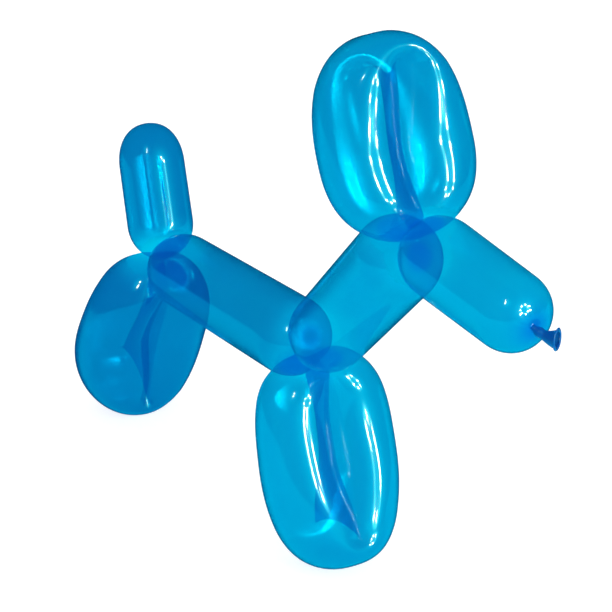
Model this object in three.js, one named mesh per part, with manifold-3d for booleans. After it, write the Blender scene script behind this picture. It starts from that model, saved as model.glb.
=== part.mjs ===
// A long modelling balloon twisted into a standing dog: one inflated tube, pinched at three twists into a
// muzzle, a neck, a body and a tail, with the ears, the front legs and the back legs each one long bubble
// folded double. The knot and its rolled lip are at the end of the muzzle.
// Millimetres and degrees. +Z is up, the dog faces +X and its left side is +Y.
// The origin is on the floor, under the middle of the dog's bounding box.
import * as THREE from "three";
import { mergeVertices } from "three/addons/utils/BufferGeometryUtils.js";
import Module from "manifold-3d";

// The straight bubbles. rise is the angle from level as the bubble leaves its twist, and sway the angle to
// the dog's left. cap is the length of the rounded end at its twist, and farCap that of the other end. radius
// is taken just past the cap, and farRadius just before farCap. A far end is at the next twist or is free.
const BODY = {
  length: 199.7, radius: 25.6, farRadius: 26.5, cap: 28.6, farCap: 28.6, rise: 5.8, sway: 0, free: false,
};
const NECK = {
  length: 169.3, radius: 25.9, farRadius: 27.5, cap: 29.4, farCap: 29.4, rise: 47.5, sway: 0, free: false,
};
const MUZZLE = {
  length: 119.6, radius: 24.8, farRadius: 23.9, cap: 26.5, farCap: 24.1, rise: -2.4, sway: 0, free: true,
};
const TAIL = {
  length: 96, radius: 23, farRadius: 22.7, cap: 25.5, farCap: 29.4, rise: 110.8, sway: 3.3, free: true,
};

// The folded bubbles, each a pair of arms side by side. lean is the angle of the pair from upright, forward,
// sway is the angle to the dog's left, and turn is how far the pair is turned about Z. halfWidth is reached
// at widest, a share of the length from the twist. square is the outline's exponent: 2 is elliptical, and
// more is squarer. depth is half an arm's thickness from front to back. fold is the thickness of the bend at
// the far end, and foldDepth is half its width from front to back. The arms press on each other along a
// seam, whose half width is seam, and foldSeam at the bend, where it lies seamShift to the left.
const EARS = {
  length: 123.5, halfWidth: 48.9, widest: 0.42, square: 2.16, depth: 25, fold: 25, foldDepth: 31,
  seam: 9, foldSeam: 8, seamShift: 6, lean: -25.6, sway: 0, turn: -3.9,
};
const FRONT_LEGS = {
  length: 145, halfWidth: 46.8, widest: 0.42, square: 2.54, depth: 25, fold: 30, foldDepth: 32.5,
  seam: 8, foldSeam: 28, seamShift: 0, lean: 17.3, sway: -1.4, turn: 1.2,
};
const BACK_LEGS = {
  length: 136.2, halfWidth: 46.7, widest: 0.5, square: 2.22, depth: 25, fold: 31, foldDepth: 32,
  seam: 10, foldSeam: 25, seamShift: 5, lean: -19.9, sway: -6.5, turn: -7.7,
};

// The knot and the lip, on the end of the muzzle. turn is the angle to the dog's left, and dip downwards.
const NOZZLE = {
  length: 15, turn: 35, dip: 14, knotRadius: 3.4, stemRadius: 2.3, lipRadius: 6.4, rim: 1.5, mouthRadius: 4,
  mouthDepth: 5, sunk: 3,
};

const TWIST_RADIUS = 2; // the pinched film between two bubbles
const TWIST_SEAM = 19; // half width of the seam between two arms near their twist
const ARM_CAP = 30; // length over which an arm reaches its full depth from the twist
const SEAM_SPREAD = 50; // length over which the seam narrows from the twist, and widens again to the bend
const FOOT_FLAT = 1.5; // how far the feet are pressed flat by the floor
const TWIST_SQUARE = 2; // the exponent of a bubble's end at a twist
const FREE_SQUARE = 2.2; // and of a free end

const ROUND_SIDES = 26; // sides of a straight bubble
const CAP_RINGS = 8; // rings in each of its ends
const ARM_RINGS = 17; // rings along an arm of a folded pair
const BEND_RINGS = 14; // rings round its bend
const ARM_SIDES = 13; // sides of an arm, without its seam

const FILM_COLOUR = 0x0094d2;

const UP = new THREE.Vector3(0, 0, 1);
const LEFT = new THREE.Vector3(0, 1, 0);
const radians = THREE.MathUtils.degToRad;
const smooth = (t) => THREE.MathUtils.smoothstep(t, 0, 1);

const wasm = await Module();
wasm.setup();

// A closed geometry as a solid.
function solidOf(geometry) {
  const bare = new THREE.BufferGeometry();
  bare.setAttribute("position", geometry.getAttribute("position"));
  bare.setIndex(geometry.index);
  const merged = mergeVertices(bare, 1e-4);
  const corners = merged.index.array;
  const triVerts = [];
  for (let i = 0; i < corners.length; i += 3) {
    const [a, b, c] = [corners[i], corners[i + 1], corners[i + 2]];
    if (a !== b && b !== c && c !== a) triVerts.push(a, b, c);
  }
  return new wasm.Manifold(
    new wasm.Mesh({
      numProp: 3,
      vertProperties: merged.attributes.position.array,
      triVerts: new Uint32Array(triVerts),
    }),
  );
}

// A solid as a geometry with flat faces.
function geometryOf(solid) {
  const mesh = solid.getMesh();
  const geometry = new THREE.BufferGeometry();
  geometry.setAttribute("position", new THREE.BufferAttribute(mesh.vertProperties, 3));
  geometry.setIndex(new THREE.BufferAttribute(mesh.triVerts, 1));
  return geometry;
}

// The direction of a straight bubble: forward, raised from level and swayed to the left.
function directionOf({ rise, sway }) {
  const level = Math.cos(radians(sway));
  return new THREE.Vector3(
    level * Math.cos(radians(rise)),
    Math.sin(radians(sway)),
    level * Math.sin(radians(rise)),
  );
}

// Turns a shape that lies along +Y at the origin so that it starts at a point and lies along a direction.
function placed(geometry, start, direction) {
  const turn = new THREE.Quaternion().setFromUnitVectors(LEFT, direction);
  const matrix = new THREE.Matrix4().compose(start, turn, new THREE.Vector3(1, 1, 1));
  return geometry.applyMatrix4(matrix);
}

// A bubble's radius at a distance from one end, as a share of its full radius.
function capShare(distance, cap, square) {
  const left = Math.max(0, 1 - distance / cap);
  return (1 - left ** square) ** (1 / square);
}

// The profile of one end of a straight bubble, from its tip, as [distance, radius].
function capProfile(radius, cap, square) {
  const points = [];
  for (let i = 0; i <= CAP_RINGS; i++) {
    const distance = cap * (1 - Math.cos((i / CAP_RINGS) * (Math.PI / 2)));
    points.push([distance, Math.max(TWIST_RADIUS, radius * capShare(distance, cap, square))]);
  }
  return points;
}

// A straight bubble from a twist.
function straightBubble(bubble, start) {
  const { length, radius, farRadius, cap, farCap, free } = bubble;
  const near = capProfile(radius, cap, TWIST_SQUARE);
  const far = capProfile(farRadius, farCap, free ? FREE_SQUARE : TWIST_SQUARE).reverse();
  const profile = [new THREE.Vector2(0, 0)];
  for (const [distance, width] of near) profile.push(new THREE.Vector2(width, distance));
  for (const [distance, width] of far) profile.push(new THREE.Vector2(width, length - distance));
  profile.push(new THREE.Vector2(0, length));
  return placed(new THREE.LatheGeometry(profile, ROUND_SIDES), start, directionOf(bubble));
}

// How far a height on a folded pair lies from its widest place, as a share of the way to that end.
function awayFromWidest(pair, height) {
  const middle = pair.widest * pair.length;
  const reach = height < middle ? middle : pair.length - middle;
  return Math.min(1, Math.abs(height - middle) / reach);
}

// Half the width of a folded pair at a height above its twist.
function outlineHalfWidth(pair, height) {
  return pair.halfWidth * (1 - awayFromWidest(pair, height) ** pair.square) ** (1 / pair.square);
}

// The distance from a pair's hinge, where the seam ends at the bend, out to its outline at an angle.
function bendRadius(pair, angle) {
  const hinge = pair.length - pair.fold;
  let inside = 0;
  let outside = pair.length;
  for (let i = 0; i < 40; i++) {
    const middle = (inside + outside) / 2;
    const across = Math.abs(pair.seamShift + middle * Math.cos(angle));
    if (across < outlineHalfWidth(pair, hinge + middle * Math.sin(angle))) inside = middle;
    else outside = middle;
  }
  return inside;
}

// One side of a section, from its rear corner on the seam round to its front corner: part of an ellipse
// that reaches width out from the seam and depth to the front and back. Each point is [forward, outward].
function sectionArc(width, depth, seam) {
  const corner = Math.min(seam / depth, 0.92);
  const cosine = Math.sqrt(1 - corner * corner);
  const radius = width / (1 + cosine);
  const end = Math.atan2(corner, -cosine);
  const points = [];
  for (let j = 0; j <= ARM_SIDES; j++) {
    const angle = end * ((2 * j) / ARM_SIDES - 1);
    points.push([depth * Math.sin(angle), radius * (cosine + Math.cos(angle))]);
  }
  return points;
}

// A bubble folded double, as one closed solid without the film inside it. Its twist is at the origin and it
// stands along +Z, with its arms side by side along Y.
function foldedBubble(pair) {
  const hinge = pair.length - pair.fold;
  const positions = [];
  const index = [];
  const add = (x, y, z) => positions.push(x, y, z) / 3 - 1;
  const quad = (a, b, c, d) => index.push(a, b, c, a, c, d);

  const rows = [];
  for (let i = 1; i <= ARM_RINGS; i++) {
    const height = (hinge * (1 - Math.cos((Math.PI * i) / ARM_RINGS))) / 2;
    const nearBend = smooth((height - (hinge - SEAM_SPREAD)) / SEAM_SPREAD);
    const nearTwist = 1 - smooth(height / SEAM_SPREAD);
    const full = pair.depth * capShare(height, ARM_CAP, TWIST_SQUARE);
    const depth = THREE.MathUtils.lerp(full, pair.foldDepth, nearBend);
    const spread = (TWIST_SEAM - pair.seam) * nearTwist + (pair.foldSeam - pair.seam) * nearBend;
    const shift = pair.seamShift * nearBend;
    const half = Math.max(TWIST_RADIUS, outlineHalfWidth(pair, height));
    const seam = pair.seam + spread;
    const left = sectionArc(half - shift, depth, seam).map(([x, y]) => [x, shift + y]);
    const right = sectionArc(half + shift, depth, seam).map(([x, y]) => [x, shift - y]);
    const around = [...left.slice(0, -1), ...right.reverse().slice(0, -1)];
    rows.push(around.map(([x, y]) => add(x, y, height)));
  }
  const twist = add(0, 0, 0);
  const sides = rows[0].length;
  for (let j = 0; j < sides; j++) {
    const next = (j + 1) % sides;
    index.push(twist, rows[0][j], rows[0][next]);
    for (let i = 1; i < rows.length; i++) {
      quad(rows[i - 1][j], rows[i][j], rows[i][next], rows[i - 1][next]);
    }
  }

  const top = rows[rows.length - 1];
  const arcs = [top.slice(0, ARM_SIDES + 1)];
  for (let k = 1; k < BEND_RINGS; k++) {
    const angle = (Math.PI * k) / BEND_RINGS;
    const arc = sectionArc(bendRadius(pair, angle), pair.foldDepth, pair.foldSeam).slice(1, -1);
    const place = ([x, out]) =>
      add(x, pair.seamShift + out * Math.cos(angle), hinge + out * Math.sin(angle));
    arcs.push([top[0], ...arc.map(place), top[ARM_SIDES]]);
  }
  arcs.push([top[0], ...top.slice(ARM_SIDES).reverse()]);
  for (let k = 1; k < arcs.length; k++) {
    for (let j = 0; j < ARM_SIDES; j++) {
      quad(arcs[k - 1][j], arcs[k][j], arcs[k][j + 1], arcs[k - 1][j + 1]);
    }
  }
  const geometry = new THREE.BufferGeometry();
  geometry.setAttribute("position", new THREE.Float32BufferAttribute(positions, 3));
  geometry.setIndex(index);
  return geometry;
}

// A folded pair on its twist, standing up from it or hanging down.
function placedPair(pair, twist, upwards) {
  const axis = new THREE.Vector3(
    Math.sin(radians(pair.lean)),
    Math.sin(radians(pair.sway)),
    upwards * Math.cos(radians(pair.lean)),
  ).normalize();
  const across = LEFT.clone().applyAxisAngle(UP, radians(pair.turn));
  across.addScaledVector(axis, -across.dot(axis)).normalize();
  const forward = new THREE.Vector3().crossVectors(across, axis);
  const matrix = new THREE.Matrix4().makeBasis(forward, across, axis).setPosition(twist);
  return foldedBubble(pair).applyMatrix4(matrix);
}

// The knot, then a short stem that flares to the rolled lip, with its mouth open a little way.
function nozzle(knot) {
  const { length, knotRadius, stemRadius, lipRadius, rim, mouthRadius, mouthDepth, sunk } = NOZZLE;
  const profile = [
    [0, -sunk],
    [stemRadius, -sunk],
    [stemRadius, 0],
    [knotRadius, 1],
    [knotRadius, 2.6],
    [stemRadius, 3.8],
    [stemRadius, 5.5],
    [lipRadius - 2 * rim, length - 4],
    [lipRadius - rim, length - 2 * rim],
    [lipRadius, length - rim],
    [lipRadius - rim * 0.3, length - rim * 0.3],
    [lipRadius - rim, length],
    [mouthRadius, length - rim * 0.6],
    [mouthRadius * 0.8, length - mouthDepth],
    [0, length - mouthDepth],
  ].map(([radius, height]) => new THREE.Vector2(radius, height));
  const rise = MUZZLE.rise - NOZZLE.dip;
  const direction = directionOf({ rise, sway: 0 }).applyAxisAngle(UP, radians(NOZZLE.turn));
  return placed(new THREE.LatheGeometry(profile, 16), knot, direction);
}

const frontTwist = new THREE.Vector3();
const rearTwist = frontTwist.clone().addScaledVector(directionOf(BODY), -BODY.length);
const headTwist = frontTwist.clone().addScaledVector(directionOf(NECK), NECK.length);
const knot = headTwist.clone().addScaledVector(directionOf(MUZZLE), MUZZLE.length);

const frontLegs = solidOf(placedPair(FRONT_LEGS, frontTwist, -1));
const backLegs = solidOf(placedPair(BACK_LEGS, rearTwist, -1));
const others = [
  straightBubble(BODY, rearTwist),
  straightBubble(NECK, frontTwist),
  straightBubble(MUZZLE, headTwist),
  straightBubble(TAIL, rearTwist),
  placedPair(EARS, headTwist, 1),
  nozzle(knot),
];
let dog = frontLegs.add(backLegs);
for (const geometry of others) dog = dog.add(solidOf(geometry));

// Tips the dog about Y until both pairs of feet reach as low, as it settles on a level floor.
function lowest(solid, tip) {
  return solid.rotate([0, tip, 0]).boundingBox().min[2];
}
let tipLow = -45;
let tipHigh = 45;
for (let i = 0; i < 40; i++) {
  const tip = (tipLow + tipHigh) / 2;
  if (lowest(frontLegs, tip) > lowest(backLegs, tip)) tipLow = tip;
  else tipHigh = tip;
}
dog = dog.rotate([0, tipLow, 0]);

// Presses the feet flat on the floor and puts the origin under the middle of the dog.
const bounds = dog.boundingBox();
const size = new THREE.Vector3(...bounds.max).sub(new THREE.Vector3(...bounds.min));
const floor = new THREE.BoxGeometry(2 * size.x, 2 * size.y, 2 * size.z);
const middle = new THREE.Vector3(...bounds.max).add(new THREE.Vector3(...bounds.min)).divideScalar(2);
floor.translate(middle.x, middle.y, bounds.min[2] + FOOT_FLAT - size.z);
dog = dog.subtract(solidOf(floor));
const standing = dog.boundingBox();
dog = dog.translate([
  -(standing.min[0] + standing.max[0]) / 2,
  -(standing.min[1] + standing.max[1]) / 2,
  -standing.min[2],
]);

const film = new THREE.MeshStandardMaterial({
  color: FILM_COLOUR,
  roughness: 0.12,
  metalness: 0,
  transparent: true,
  opacity: 0.75,
});
const balloon = new THREE.Mesh(geometryOf(dog), film);
balloon.name = "balloon";
const group = new THREE.Group();
group.add(balloon);
export default group;
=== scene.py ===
# The looks of a balloon dog twisted from one long, see-through blue latex balloon: its film as thin, glossy
# skins that press flat on each other where bubbles touch, its gathered twists, and its knot and rolled lip.
# Metres and degrees, in the row's frame: the dog faces +X, its left is +Y and it stands on Z = 0.
from math import atan, cos, pi, radians, sin

import bpy
import numpy as np
from mathutils import Matrix, Vector


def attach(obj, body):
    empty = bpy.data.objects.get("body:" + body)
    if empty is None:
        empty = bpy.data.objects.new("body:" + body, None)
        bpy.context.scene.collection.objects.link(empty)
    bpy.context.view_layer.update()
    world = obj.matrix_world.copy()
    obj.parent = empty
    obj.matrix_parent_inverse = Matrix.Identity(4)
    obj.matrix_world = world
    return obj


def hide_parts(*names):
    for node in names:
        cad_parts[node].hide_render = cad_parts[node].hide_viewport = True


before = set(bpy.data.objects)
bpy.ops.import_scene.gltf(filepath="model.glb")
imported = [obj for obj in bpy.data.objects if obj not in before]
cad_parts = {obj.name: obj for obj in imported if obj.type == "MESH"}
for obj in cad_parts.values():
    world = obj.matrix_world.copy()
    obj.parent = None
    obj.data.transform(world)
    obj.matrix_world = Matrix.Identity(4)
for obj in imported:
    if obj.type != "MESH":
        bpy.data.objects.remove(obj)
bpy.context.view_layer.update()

# The dog as the frame has it. The twists are worked out from the front one, and tip is the small angle
# about Y that the dog settles by on its feet.
FRONT_TWIST = np.array([0.01003, 0.00315, 0.1402])
TIP = radians(2.251)
BODY = dict(length=0.1997, radius=0.0256, far_radius=0.0265, cap=0.0286, far_cap=0.0286, rise=5.8, sway=0)
NECK = dict(length=0.1693, radius=0.0259, far_radius=0.0275, cap=0.0294, far_cap=0.0294, rise=47.5, sway=0)
MUZZLE = dict(length=0.1196, radius=0.0248, far_radius=0.0239, cap=0.0265, far_cap=0.0241, rise=-2.4, sway=0)
TAIL = dict(length=0.096, radius=0.023, far_radius=0.0227, cap=0.0255, far_cap=0.0294, rise=110.8, sway=3.3)
EARS = dict(
    length=0.1235, half_width=0.0489, widest=0.42, square=2.16, depth=0.025, fold=0.025, fold_depth=0.031,
    seam=0.009, fold_seam=0.008, shift=0.006, lean=-25.6, sway=0.0, turn=-3.9, sag=0.004, swell=0.05,
)
FRONT_LEGS = dict(
    length=0.145, half_width=0.0468, widest=0.42, square=2.54, depth=0.025, fold=0.03, fold_depth=0.0325,
    seam=0.008, fold_seam=0.028, shift=0.0, lean=17.3, sway=-1.4, turn=1.2, sag=0.007, swell=0.085,
)
BACK_LEGS = dict(
    length=0.1362, half_width=0.0467, widest=0.5, square=2.22, depth=0.025, fold=0.031, fold_depth=0.032,
    seam=0.01, fold_seam=0.025, shift=0.005, lean=-19.9, sway=-6.5, turn=-7.7, sag=0.006, swell=0.05,
)
NOZZLE = dict(
    length=0.0148, turn=35, dip=34, mouth_dip=-6, gather=0.0017, knot=0.0032, knot_place=0.0036, stem=0.0027,
    stem_place=0.0056, lip=0.0067, bead=0.0011, wall=0.0005, flare=1.15,
)
KNOT_SHOULDERS = 0.85, 0.93  # the knot's radius before and after its thickest place, as shares of that
NOZZLE_ROOT = 0.002  # how far the gathered film starts inside the muzzle
LIP_FROM, LIP_TO = -1.2, 3.0  # radians round the rolled lip, from its outside over the rim to its inside
NOZZLE_AROUND = 48
PLEATS, PLEAT_DEPTH = 15, 0.14  # round each end of a bubble
PLEAT_REACH, KNOT_PLEAT_REACH = 0.0028, 0.0009  # along the axis, from a twist and from the knot
ROPE = 0.002  # radius of the film gathered in a twist
TWIST_SEAM = 0.019  # half width of the seam between two arms, at the twist
ARM_CAP = 0.03  # length of an arm's round end at the twist
SEAM_SPREAD = 0.05  # along an arm, over which the seam's width changes
TWIST_SQUARE = 2.0  # exponent of a bubble's end at a twist
FREE_SQUARE = 2.2  # and of its free end
SAG_REACH = 0.012  # how far from a fold's crease the film follows the crease's curve
THICK_REACH = 0.011  # how far from a knot or a twist the film is less stretched
TWIST_THICK = 0.45  # how much of the knot's deep blue a twist has
# How far each bubble's blue is from the palest to the darkest, matched to the photograph. It is painted
# shade, darker for the bubbles towards the dog's back, and partly less stretched film.
SHADE_AND_SLACK = dict(body=0.55, neck=0.26, muzzle=0.04, tail=0.78, ears=0.38, front_legs=0.18, back_legs=0.9)
GAP = 0.0003  # between two films that press on each other
SHARP_ANGLE = 50  # between two faces, from which their edge is drawn sharp
FACING_DEPTH, FACING_REACH, FACING_FADE = 0.018, 0.022, 0.02  # of the skin that looks at a neighbour
SEAM_FLAT = 0.5  # how much of a pressed film's blue the seam between two arms has
PRESSED_SHARE = 0.05  # of a bubble's radius pushed in, at which film counts as fully pressed
DULL_FROM = 0.6  # how clear a skin is where its gloss ends
GLOSSY_AT_TWISTS = "body"  # the bubble that keeps its gloss there, for a highlight in the photograph
EDGE = 0.035  # how softly a pressed film turns into a free one, as a share of the bubble's radius

# The film's blues, picked to match the photograph, and the thicker latex of the nozzle.
PALE_FILM, DARK_FILM = (0, 0.375, 0.46), (0, 0.12, 0.22)
FILM_TINTS = dict(clear=(0, 0.47, 0.56), flat=(0, 0.29, 0.60), thick=(0, 0.06, 0.48))
UNEVEN = 0.12  # how much the noise darkens the film
FILM_GLOW, PRESSED_GLOW = 0.23, 0.13  # in place of the light that latex scatters
THICK_DARK, THICK_PALE = (0, 0.06, 0.30), (0, 0.13, 0.50)

# The photograph's camera, from the front twist, and the size in pixels of its square picture.
PICTURE = 612
CAMERA_TURN = 58.47
CAMERA_RISE = 26.6
CAMERA_ROLL = 0.32
CAMERA_DISTANCE = 1.6924
CAMERA_AIM = 0.05  # over the front twist
CAMERA_FOCUS = 2680.5  # focal length in pixels
CAMERA_CENTRE = (313.7, 278.7)  # where the lens's axis meets the picture, in pixels from its top left

settle = np.array([[cos(TIP), 0, sin(TIP)], [0, 1, 0], [-sin(TIP), 0, cos(TIP)]])


def unit(v):
    v = np.asarray(v, float)
    return v / np.linalg.norm(v)


def smooth(t):
    t = np.clip(t, 0, 1)
    return t * t * (3 - 2 * t)


def heading(rise, sway=0):
    level = cos(radians(sway))
    return settle @ np.array([level * cos(radians(rise)), sin(radians(sway)), level * sin(radians(rise))])


def cap_share(distance, cap, square=TWIST_SQUARE):
    left = np.clip(1 - distance / cap, 0, 1)
    return (1 - left**square) ** (1 / square)


class Straight:
    """A round bubble from one twist to the next, or to a free end."""

    ends = 30
    middle = 26
    around = 112

    def __init__(self, size, start, free=False):
        self.size, self.start, self.axis = size, np.asarray(start, float), heading(size["rise"], size["sway"])
        self.far_square = FREE_SQUARE if free else TWIST_SQUARE
        self.far_reach = KNOT_PLEAT_REACH if free else PLEAT_REACH
        self.length, self.cap, self.far_cap = size["length"], size["cap"], size["far_cap"]
        side = np.array([0, 1.0, 0])
        self.left = unit(side - self.axis * (side @ self.axis))
        self.up = np.cross(self.axis, self.left)
        self.end = self.start + self.axis * self.length

    def radius(self, d):
        near, far = self.size["radius"], self.size["far_radius"]
        share = np.clip((d - self.cap) / (self.length - self.cap - self.far_cap), 0, 1)
        full = near + (far - near) * share
        near_end = cap_share(np.clip(d, 0, None), self.cap)
        return full * near_end * cap_share(np.clip(self.length - d, 0, None), self.far_cap, self.far_square)

    def away(self, twist):
        """The way from the twist into the bubble, or None where the bubble doesn't reach the twist."""
        for place, direction in ((self.start, self.axis), (self.end, -self.axis)):
            if np.allclose(place, twist):
                return direction
        return None

    def level(self, p):
        """1 on the skin of the whole bubble, less inside it and more outside."""
        rel = p - self.start
        d = rel @ self.axis
        across = np.linalg.norm(rel - d[..., None] * self.axis, axis=-1)
        out = np.maximum(-d, 0) + np.maximum(d - self.length, 0)
        return (across + 5 * out) / np.maximum(self.radius(d), 1e-4)

    def rings(self):
        t = np.linspace(0, 1, self.ends)
        end = 1 - np.cos(t * pi / 2)
        middle = np.linspace(self.cap, self.length - self.far_cap, self.middle)[1:-1]
        d = np.concatenate([self.cap * end, middle, self.length - self.far_cap * end[::-1]])
        r = np.maximum(self.radius(d), ROPE)
        a = np.linspace(0, 2 * pi, self.around, endpoint=False)
        spokes = np.cos(a)[:, None] * self.left + np.sin(a)[:, None] * self.up
        centre = self.start + d[:, None] * self.axis
        gathered = np.exp(-d / PLEAT_REACH) + np.exp(-(self.length - d) / self.far_reach)
        pleat = gathered[:, None] * np.sin(PLEATS * a + np.sin(2 * a))
        skin = centre[:, None] + (r[:, None] * (1 - PLEAT_DEPTH * np.maximum(pleat, 0)))[..., None] * spokes
        core = self.start + np.clip(d, self.cap, self.length - self.far_cap)[:, None] * self.axis
        return skin, np.broadcast_to(core[:, None], skin.shape)


class Folded:
    """A long bubble folded double, from a twist out along one arm, round the bend and back."""

    arm = 64
    bend = 44
    arc = 64
    flat = 20

    def __init__(self, size, twist, upwards):
        self.size, self.start = size, np.asarray(twist, float)
        lean, sway, turn = (radians(size[k]) for k in ("lean", "sway", "turn"))
        axis = unit([sin(lean), sin(sway), upwards * cos(lean)])
        left = np.array([-sin(turn), cos(turn), 0])
        left = unit(left - axis * (left @ axis))
        self.turn = np.array([np.cross(left, axis), left, axis]) @ settle.T
        self.length = size["length"]
        self.hinge = size["length"] - size["fold"]

    def away(self, twist):
        return self.turn[2] if np.allclose(self.start, twist) else None

    def half_width(self, z):
        s = self.size
        middle = s["widest"] * self.length
        reach = np.where(z < middle, middle, self.length - middle)
        share = np.clip(np.abs(z - middle) / reach, 0, 1)
        return s["half_width"] * (1 - share ** s["square"]) ** (1 / s["square"])

    def section(self, z):
        """At a height: how far the seam lies to the left, the seam's half width and an arm's half depth."""
        s = self.size
        near_bend = smooth((z - (self.hinge - SEAM_SPREAD)) / SEAM_SPREAD)
        near_twist = 1 - smooth(z / SEAM_SPREAD)
        swollen = smooth((z - (self.hinge - s["swell"])) / s["swell"])
        full = s["depth"] + (s["fold_depth"] - s["depth"]) * swollen
        depth = np.maximum(full * cap_share(z, ARM_CAP), 1e-4)
        seam = s["seam"] + (TWIST_SEAM - s["seam"]) * near_twist + (s["fold_seam"] - s["seam"]) * near_bend
        return s["shift"] * near_bend, seam, depth

    def ellipse(self, width, seam, depth):
        corner = np.minimum(seam / depth, 0.92)
        cosine = np.sqrt(1 - corner**2)
        radius = width / (1 + cosine)
        return corner, cosine, radius

    def level(self, p):
        q = (p - self.start) @ self.turn.T
        x, y, z = q[..., 0], q[..., 1], q[..., 2]
        zc = np.clip(z, 0, self.length)
        shift, seam, depth = self.section(zc)
        side = y - shift
        width = np.maximum(self.half_width(zc) - np.sign(side) * shift, 1e-4)
        _, cosine, radius = self.ellipse(width, seam, depth)
        out = np.abs(z - zc)
        return np.sqrt(((np.abs(side) - radius * cosine) / radius) ** 2 + (x / depth) ** 2) + 5 * out / depth

    def loop(self, width, depth, seam):
        """One section of an arm, as [forward, outward] for each point round it."""
        corner, cosine, radius = self.ellipse(width, seam, depth)
        end = np.arctan2(corner, -cosine)
        a = end * np.linspace(-1, 1, self.arc)
        x, out = depth * np.sin(a), radius * (cosine + np.cos(a))
        back = np.linspace(1, -1, self.flat + 2)[1:-1]
        x = np.concatenate([x, depth * corner * back])
        out = np.concatenate([out, np.zeros(self.flat)])
        return x, np.maximum(out, GAP / 2), radius * cosine

    def bend_radius(self, angle):
        inside, outside = 0.0, self.length
        for _ in range(40):
            middle = (inside + outside) / 2
            across = abs(self.size["shift"] + middle * cos(angle))
            if across < self.half_width(self.hinge + middle * sin(angle)):
                inside = middle
            else:
                outside = middle
        return inside

    def rings(self):
        skin, core = [], []
        heights = self.hinge * (1 - np.cos(np.linspace(0, pi, self.arm + 1)[1:])) / 2
        for side in (1, -1):
            arm_skin, arm_core = [], []
            for z in heights:
                shift, seam, depth = self.section(z)
                width = max(self.half_width(z) - side * shift, ROPE)
                x, out, _ = self.loop(width, depth, seam)
                arm_skin.append(np.stack([x, shift + side * out, np.full_like(x, z)], -1))
                zc = max(z, ARM_CAP)
                shift_c, seam_c, depth_c = self.section(zc)
                _, _, middle = self.loop(self.half_width(zc) - side * shift_c, depth_c, seam_c)
                arm_core.append(np.broadcast_to([0, shift_c + side * middle, zc], arm_skin[-1].shape))
            if side > 0:
                skin, core = arm_skin, arm_core
                for angle in np.linspace(0, pi, self.bend + 1)[1:-1]:
                    width = self.bend_radius(angle)
                    x, out, middle = self.loop(width, self.size["fold_depth"], self.size["fold_seam"])
                    y = self.size["shift"] + out * cos(angle)
                    skin.append(np.stack([x, y, self.hinge + out * sin(angle)], -1))
                    c = [0, self.size["shift"] + middle * cos(angle), self.hinge + middle * sin(angle)]
                    core.append(np.broadcast_to(c, skin[-1].shape))
            else:
                skin += arm_skin[::-1]
                core += arm_core[::-1]
        skin = self.sagged(np.array(skin))
        return self.start + skin @ self.turn, self.start + np.array(core) @ self.turn

    def sagged(self, skin):
        """The skin with its crease curved, so that its two ends reach further round the bend."""
        size = self.size
        above = skin[..., 2] - self.hinge
        away = np.hypot(skin[..., 1] - size["shift"], np.where(above > 0, above, above / 2))
        outward = np.minimum((skin[..., 0] / size["fold_seam"]) ** 2, 1.3)
        skin[..., 2] += size["sag"] * outward * np.exp(-away / SAG_REACH)
        return skin


def pressed(bubble, others):
    """The bubble's skin, pushed in to meet its neighbours' skins half way, and how flat it is there."""
    skin, core = bubble.rings()
    reach = np.full(skin.shape[:-1], 1.5)
    for other in others:
        low, high = np.zeros_like(reach), np.full_like(reach, 1.5)
        for _ in range(26):
            middle = (low + high) / 2
            p = core + (skin - core) * middle[..., None]
            free = bubble.level(p) < other.level(p)
            low, high = np.where(free, middle, low), np.where(free, high, middle)
        reach = np.minimum(reach, low)
    soft = -EDGE * np.log(np.exp(-1 / EDGE) + np.exp(-reach / EDGE))
    span = np.linalg.norm(skin - core, axis=-1)
    soft = soft - np.where(reach < 1, GAP / 2, 0) / np.maximum(span, 1e-3)
    flattened = smooth((1 - reach) / PRESSED_SHARE)
    return core + (skin - core) * soft[..., None], flattened


def facing(points, bubble, neighbours, twists):
    """1 where the skin looks at a neighbour close by. It is paler there, to match the photograph."""
    most = np.zeros(points.shape[:-1])
    for other in neighbours:
        twist = next(t for t in twists if bubble.away(t) is not None and other.away(t) is not None)
        normal = unit(other.away(twist) - bubble.away(twist))
        apart = (twist - points) @ normal
        reach = np.linalg.norm(points - twist, axis=-1)
        near = (1 - smooth(apart / FACING_DEPTH)) * (1 - smooth((reach - FACING_REACH) / FACING_FADE))
        most = np.maximum(most, near)
    return most


def tube(rings, start, end):
    """Vertices and quads of a closed tube through the rings, with a point at each end."""
    n, m = rings.shape[:2]
    verts = np.concatenate([rings.reshape(-1, 3), [start, end]])
    faces = []
    for i in range(n - 1):
        for j in range(m):
            k = (j + 1) % m
            faces.append((i * m + j, i * m + k, (i + 1) * m + k, (i + 1) * m + j))
    for j in range(m):
        k = (j + 1) % m
        faces.append((n * m, k, j))
        faces.append((n * m + 1, (n - 1) * m + j, (n - 1) * m + k))
    return verts, faces


def skin_piece(name, parts, material):
    verts, faces, base = [], [], 0
    for v, f in parts:
        verts.append(v)
        faces += [tuple(base + i for i in face) for face in f]
        base += len(v)
    mesh = bpy.data.meshes.new(name)
    mesh.from_pydata(np.concatenate(verts).tolist(), [], faces)
    mesh.polygons.foreach_set("use_smooth", [True] * len(mesh.polygons))
    mesh.set_sharp_from_angle(angle=radians(SHARP_ANGLE))
    mesh.materials.append(material)
    piece = bpy.data.objects.new(name, mesh)
    bpy.context.scene.collection.objects.link(piece)
    return piece


def mixed(nodes, links, factor, first, second):
    mix = nodes.new("ShaderNodeMix")
    mix.data_type = "RGBA"
    for name, colour in (("A", first), ("B", second)):
        if isinstance(colour, tuple):
            mix.inputs[name].default_value = (*colour, 1)
        else:
            links.new(colour, mix.inputs[name])
    links.new(factor, mix.inputs["Factor"])
    return mix.outputs["Result"]


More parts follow.
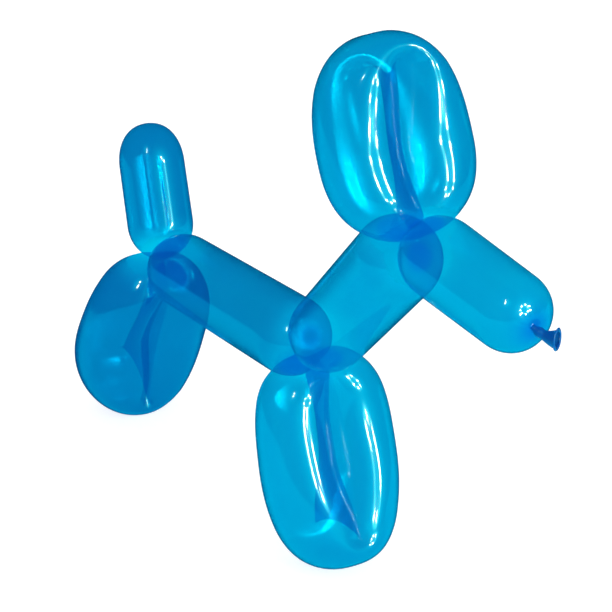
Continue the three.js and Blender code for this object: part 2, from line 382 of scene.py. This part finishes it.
def film_material(name, coat, glow):
    """Stretched latex, clear and blue. Its blue goes by four attributes: shade_and_slack for the bubble's own
    depth of blue, which is painted shade darkening the bubbles towards the dog's back and partly less
    stretched film, clear where it faces a neighbour, flat where it is pressed, and thick where it is
    gathered."""
    material = bpy.data.materials.new(name)
    material.use_nodes = True
    nodes, links = material.node_tree.nodes, material.node_tree.links
    shader = nodes["Principled BSDF"]
    share = {}
    for kind in ("shade_and_slack", "clear", "flat", "thick"):
        share[kind] = nodes.new("ShaderNodeAttribute")
        share[kind].attribute_name = kind
    # A random tone from the noise, added to each bubble's painted shade.
    noise = nodes.new("ShaderNodeTexNoise")
    noise.inputs["Scale"].default_value = 22
    uneven_and_shade = nodes.new("ShaderNodeMath")
    uneven_and_shade.operation = "MULTIPLY_ADD"
    uneven_and_shade.inputs[1].default_value = UNEVEN
    links.new(noise.outputs["Fac"], uneven_and_shade.inputs[0])
    links.new(share["shade_and_slack"].outputs["Fac"], uneven_and_shade.inputs[2])
    colour = mixed(nodes, links, uneven_and_shade.outputs["Value"], PALE_FILM, DARK_FILM)
    for kind, tint in FILM_TINTS.items():
        colour = mixed(nodes, links, share[kind].outputs["Fac"], colour, tint)
    links.new(colour, shader.inputs["Base Color"])
    shader.inputs["Roughness"].default_value = 0.0
    shader.inputs["IOR"].default_value = 1.0
    shader.inputs["Transmission Weight"].default_value = 0.9
    shader.inputs["Coat Weight"].default_value = coat
    shader.inputs["Coat IOR"].default_value = 1.7
    shader.inputs["Coat Roughness"].default_value = 0.08
    shader.inputs["Coat Tint"].default_value = (0.8, 0.92, 0.90, 1)
    # Painted light: the film glows blue, in place of the light that latex scatters.
    shader.inputs["Emission Color"].default_value = (0, 0.23, 1, 1)
    shader.inputs["Emission Strength"].default_value = glow
    return material


def thick_material():
    """Latex that isn't stretched: dark, and only a little light gets through."""
    material = bpy.data.materials.new("latex_thick")
    material.use_nodes = True
    nodes, links = material.node_tree.nodes, material.node_tree.links
    shader = nodes["Principled BSDF"]
    noise = nodes.new("ShaderNodeTexNoise")
    noise.inputs["Scale"].default_value = 300
    colour = mixed(nodes, links, noise.outputs["Fac"], THICK_DARK, THICK_PALE)
    links.new(colour, shader.inputs["Base Color"])
    shader.inputs["Roughness"].default_value = 0.22
    shader.inputs["Transmission Weight"].default_value = 0.25
    shader.inputs["IOR"].default_value = 1.1
    shader.inputs["Coat Weight"].default_value = 1.0
    shader.inputs["Coat Roughness"].default_value = 0.1
    return material


front = FRONT_TWIST
rear = front - heading(BODY["rise"]) * BODY["length"]
head = front + heading(NECK["rise"]) * NECK["length"]
knot = head + heading(MUZZLE["rise"]) * MUZZLE["length"]
bubbles = {
    "body": Straight(BODY, rear),
    "neck": Straight(NECK, front),
    "muzzle": Straight(MUZZLE, head, free=True),
    "tail": Straight(TAIL, rear, free=True),
    "ears": Folded(EARS, head, 1),
    "front_legs": Folded(FRONT_LEGS, front, -1),
    "back_legs": Folded(BACK_LEGS, rear, -1),
}
TOUCHING = {
    "body": ("neck", "front_legs", "tail", "back_legs"),
    "neck": ("body", "front_legs", "ears", "muzzle"),
    "muzzle": ("neck", "ears"),
    "tail": ("body", "back_legs"),
    "ears": ("neck", "muzzle"),
    "front_legs": ("body", "neck"),
    "back_legs": ("body", "tail"),
}


def nozzle_profile():
    """The knot, the flare and its rolled lip, and back in again: [distance, radius] down the nozzle."""
    n = NOZZLE
    rim = n["length"] - n["bead"]
    throat = n["lip"] - n["bead"]
    before, after = KNOT_SHOULDERS
    outside = [
        (-NOZZLE_ROOT, n["gather"]),
        (0, n["gather"]),
        (n["knot_place"] / 2, n["knot"] * before),
        (n["knot_place"], n["knot"]),
        ((n["knot_place"] + n["stem_place"]) / 2, n["knot"] * after),
    ]
    inside = []
    for t in np.linspace(0, 1, 12):
        place = n["stem_place"] + (rim - n["stem_place"]) * t
        widening = (throat - n["stem"]) * t ** n["flare"]
        outside.append((place, n["stem"] + widening))
        if t > 0:
            inside.append((place, widening + n["stem"] - n["wall"]))
    lip = []
    for a in np.linspace(LIP_FROM, LIP_TO, 14):
        lip.append((rim + n["bead"] * (1 + sin(a)) / 2, throat + n["bead"] * cos(a)))
    return outside + lip + inside[::-1]


def nozzle_rings():
    """The nozzle's rings along a curve that starts at the knot, dipping, and is nearly level at the mouth."""
    n = NOZZLE
    turned = radians(n["turn"])
    level = heading(MUZZLE["rise"]) * cos(turned) + np.array([0, 1, 0]) * sin(turned)
    spokes = np.linspace(0, 2 * pi, NOZZLE_AROUND, endpoint=False)
    rings = []
    for d, r in nozzle_profile():
        share = min(max(d / n["length"], 0), 1)
        reached, steps = knot.copy(), 12
        for i in range(steps + 1):
            dip = radians(n["dip"] + (n["mouth_dip"] - n["dip"]) * share * min((i + 0.5) / steps, 1))
            out = unit(level * cos(dip) - np.array([0, 0, sin(dip)]))
            if i < steps:
                reached = reached + out * d / steps
        across = unit(np.cross(out, [0, 0, 1]))
        above = np.cross(across, out)
        rings.append(reached + r * (np.cos(spokes)[:, None] * across + np.sin(spokes)[:, None] * above))
    return np.array(rings)


film = film_material("latex_film", 1.0, FILM_GLOW)
pressed_film = film_material("latex_film_pressed", 0.0, PRESSED_GLOW)
thick_latex = thick_material()
parts, shade_and_slack, clear, flat, dull = [], [], [], [], []
for name, bubble in bubbles.items():
    rings, flattened = pressed(bubble, [bubbles[n] for n in TOUCHING[name]])
    rings[..., 2] = np.maximum(rings[..., 2], GAP)
    if isinstance(bubble, Folded):
        for arm in (slice(0, bubble.arm), slice(-bubble.arm, None)):
            flattened[arm, bubble.arc :] = SEAM_FLAT
    clearing = [bubbles[n] for n in TOUCHING[name] if {n, name} != {"body", "back_legs"}]
    # Painted shade: each bubble's own depth of blue, darker towards the dog's back, partly less stretched
    # film.
    shade_and_slack.append(np.full(flattened.size + 2, SHADE_AND_SLACK[name]))
    clear.append(np.append(facing(rings, bubble, clearing, (front, rear, head)), [0, 0]))
    flat.append(np.append(flattened, [0, 0]))
    dull.append(clear[-1] * (name != GLOSSY_AT_TWISTS))
    far = bubble.start if isinstance(bubble, Folded) else bubble.end
    parts.append(tube(rings, bubble.start, far))
balloon = skin_piece("balloon_film", parts, film)
points = np.concatenate([v for v, _ in parts])
near = np.min([np.linalg.norm(points - p, axis=1) for p in (front, rear, head)], axis=0)
at_knot = np.linalg.norm(points - knot, axis=1)
flatness = np.concatenate(flat)
uncoated = np.maximum(flatness / SEAM_FLAT, np.concatenate(dull) / DULL_FROM) >= 1
thick = TWIST_THICK * np.exp(-((near / THICK_REACH) ** 2)) + np.exp(-((at_knot / THICK_REACH) ** 2))
balloon.data.materials.append(pressed_film)
for face in balloon.data.polygons:
    face.material_index = int(all(uncoated[i] for i in face.vertices))
shares = dict(shade_and_slack=np.concatenate(shade_and_slack), clear=np.concatenate(clear), flat=flatness, thick=thick)
for name, values in shares.items():
    attribute = balloon.data.attributes.new(name, "FLOAT", "POINT")
    attribute.data.foreach_set("value", np.clip(values, 0, 1).astype(np.float32))
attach(balloon, "root")
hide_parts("balloon")

rings = nozzle_rings()
nozzle = skin_piece("nozzle", [tube(rings, rings[0].mean(0), rings[-1].mean(0))], thick_latex)
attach(nozzle, "root")

# The studio: a pale floor that the picture can't tell from the background, soft light all round, and a ring
# of lamps to the right of the photograph's camera, which the balloon shows as streaks and rings of dots.
floor_material = bpy.data.materials.new("studio_floor")
floor_material.use_nodes = True
floor_shader = floor_material.node_tree.nodes["Principled BSDF"]
floor_shader.inputs["Base Color"].default_value = (0.35, 0.35, 0.35, 1)
floor_shader.inputs["Roughness"].default_value = 0.9
floor_shader.inputs["Specular IOR Level"].default_value = 0.0
floor_shader.inputs["Emission Color"].default_value = (1, 1, 1, 1)
floor_shader.inputs["Emission Strength"].default_value = 0.8
bpy.ops.mesh.primitive_plane_add(size=24, location=(0, 0, 0))
floor = bpy.context.object
floor.name = "studio_floor"
floor.data.materials.append(floor_material)
floor.visible_glossy = False

world = bpy.data.worlds.new("studio")
bpy.context.scene.world = world
world.use_nodes = True
nodes, links = world.node_tree.nodes, world.node_tree.links


def maths(operation, *values):
    node = nodes.new("ShaderNodeMath")
    node.operation = operation
    for socket, value in zip(node.inputs, values):
        if isinstance(value, (int, float)):
            socket.default_value = value
        else:
            links.new(value, socket)
    return node.outputs["Value"]


def towards(turn, rise):
    turn, rise = radians(turn), radians(rise)
    return np.array([cos(rise) * cos(turn), cos(rise) * sin(turn), sin(rise)])


def along(direction):
    """How far a ray's direction runs along the given one, from -1 to 1."""
    node = nodes.new("ShaderNodeVectorMath")
    node.operation = "DOT_PRODUCT"
    links.new(where, node.inputs[0])
    node.inputs[1].default_value = direction.tolist()
    return node.outputs["Value"]


def ramp(value, start, end):
    """Softly from 0 at the start to 1 at the end."""
    node = nodes.new("ShaderNodeMapRange")
    node.interpolation_type = "SMOOTHSTEP"
    for name, number in (("From Min", start), ("From Max", end)):
        node.inputs[name].default_value = number
    links.new(value, node.inputs["Value"])
    return node.outputs["Result"]


def bump(angle, width, height):
    """A soft bell of light over the angle from its middle, with its width in degrees."""
    square = maths("MULTIPLY", angle, angle)
    return maths("MULTIPLY", maths("EXPONENT", maths("MULTIPLY", square, -(radians(width) ** -2))), height)


def background(colour, strength):
    node = nodes.new("ShaderNodeBackground")
    node.inputs["Color"].default_value = (*colour, 1)
    links.new(strength, node.inputs["Strength"])
    return node.outputs[0]


# The lamps stand in rings and pairs round the aim. Widths are metres and powers watts.
RING_TURN, RING_RISE, RING_DISTANCE, RING_RADIUS = 8.0, 16.5, 2.4, 0.5
RING_LAMPS, RING_START, RING_WIDTH, RING_POWER = 7, 0.3, 0.17, 4.5
SIDE_TURN, SIDE_RISE, SIDE_SPREAD, SIDE_WIDTH, SIDE_POWER = -50.0, 45.0, 3, 0.16, 2
FILL_PLACE, FILL_WIDTH, FILL_POWER = (2.2, 0.6, 1.2), 1.6, 30

# What reflections alone see besides the lamps, tuned for the photograph: a soft glow round the ring, a hoop
# of light through it, a small glow by the side lamps, and a table below, but for its part behind the dog in
# the photograph. Each glow has a width in degrees and a strength. A reflection seen through film gets the
# soft glow stronger, which real film doesn't do.
RING_GLOW, SIDE_GLOW, HOOP = (24, 3.6), (9, 2.5), (2.2, 6.5)
THROUGH_FILM = 13.0  # added to the soft glow's strength of 1
TABLE_FADE = -0.06, -0.14  # of the direction's height, from no table to a full one
TABLE_TURN = -31.5  # the side of the dog that the photograph's camera is on
BEHIND_FADE = -0.75, -0.35  # of how far a direction runs to that side, from no table to a full one
GLOW_CYAN, TABLE_CYAN, PALE_CYAN = (0, 0.95, 0.92), (0, 0.75, 1), (0.08, 0.95, 1)
where = nodes.new("ShaderNodeTexCoord").outputs["Generated"]
off_ring = maths("ARCCOSINE", along(towards(RING_TURN, RING_RISE)))
off_side = maths("ARCCOSINE", along(towards(SIDE_TURN, SIDE_RISE)))
glow = maths("ADD", bump(off_ring, *RING_GLOW), bump(off_side, *SIDE_GLOW))
path = nodes.new("ShaderNodeLightPath")
inner = maths("MULTIPLY_ADD", path.outputs["Is Transmission Ray"], THROUGH_FILM, 1.0)
below = ramp(along(np.array([0, 0, 1.0])), *TABLE_FADE)
table = maths("MULTIPLY", below, ramp(along(towards(TABLE_TURN, 0)), *BEHIND_FADE))
soft = background(GLOW_CYAN, maths("MULTIPLY", glow, inner))
hoop = bump(maths("SUBTRACT", off_ring, atan(RING_RADIUS / RING_DISTANCE)), *HOOP)
mirrored = soft
for light in (background(TABLE_CYAN, table), background(PALE_CYAN, hoop)):
    both = nodes.new("ShaderNodeAddShader")
    links.new(mirrored, both.inputs[0])
    links.new(light, both.inputs[1])
    mirrored = both.outputs[0]
room = nodes["Background"]
room.inputs["Color"].default_value = (1, 1, 1, 1)
room.inputs["Strength"].default_value = 1.0
mix = nodes.new("ShaderNodeMixShader")
links.new(maths("GREATER_THAN", path.outputs["Glossy Depth"], 0.5), mix.inputs["Fac"])
links.new(room.outputs[0], mix.inputs[1])
links.new(mirrored, mix.inputs[2])
links.new(mix.outputs[0], nodes["World Output"].inputs["Surface"])


def lamp(name, place, aim, width, power):
    light = bpy.data.lights.new(name, "AREA")
    light.shape = "ELLIPSE"
    light.size, light.size_y, light.energy = width, width, power
    made = bpy.data.objects.new(name, light)
    made.location = place
    made.rotation_euler = (Vector(aim) - Vector(place)).to_track_quat("-Z", "Y").to_euler()
    bpy.context.scene.collection.objects.link(made)
    return made


aim = np.array([0, 0, 0.2])
to_ring = towards(RING_TURN, RING_RISE)
ring_right = unit(np.cross([0, 0, 1], to_ring))
ring_up = np.cross(to_ring, ring_right)
for i in range(RING_LAMPS):
    a = 2 * pi * (i + RING_START) / RING_LAMPS
    spot = aim + to_ring * RING_DISTANCE + RING_RADIUS * (cos(a) * ring_right + sin(a) * ring_up)
    lamp(f"ring_{i}", spot, aim, RING_WIDTH, RING_POWER).visible_diffuse = False
for i in (-1, 1):
    spot = aim + towards(SIDE_TURN, SIDE_RISE + SIDE_SPREAD * i) * RING_DISTANCE
    lamp(f"side_{i + 1}", spot, aim, SIDE_WIDTH, SIDE_POWER).visible_diffuse = False
lamp("front_fill", FILL_PLACE, aim, FILL_WIDTH, FILL_POWER).visible_glossy = False

turn, rise, roll = radians(CAMERA_TURN), radians(CAMERA_RISE), radians(CAMERA_ROLL)
right = np.array([cos(turn), sin(turn), 0])
back = np.array([sin(turn) * cos(rise), -cos(turn) * cos(rise), sin(rise)])
up = np.cross(back, right)
axes = np.array([right * cos(roll) + up * sin(roll), up * cos(roll) - right * sin(roll), back])
place = front + settle @ (np.array([0, 0, CAMERA_AIM]) + back * CAMERA_DISTANCE)
camera_data = bpy.data.cameras.new("camera")
camera = bpy.data.objects.new("camera", camera_data)
camera.matrix_world = Matrix.Translation(place) @ Matrix((settle @ axes.T).tolist()).to_4x4()
camera_data.sensor_width = 36
camera_data.lens = 36 * CAMERA_FOCUS / PICTURE
camera_data.shift_x = (PICTURE / 2 - CAMERA_CENTRE[0]) / PICTURE
camera_data.shift_y = (CAMERA_CENTRE[1] - PICTURE / 2) / PICTURE
bpy.context.scene.collection.objects.link(camera)
bpy.context.scene.camera = camera
bpy.context.scene.view_settings.view_transform = "Standard"
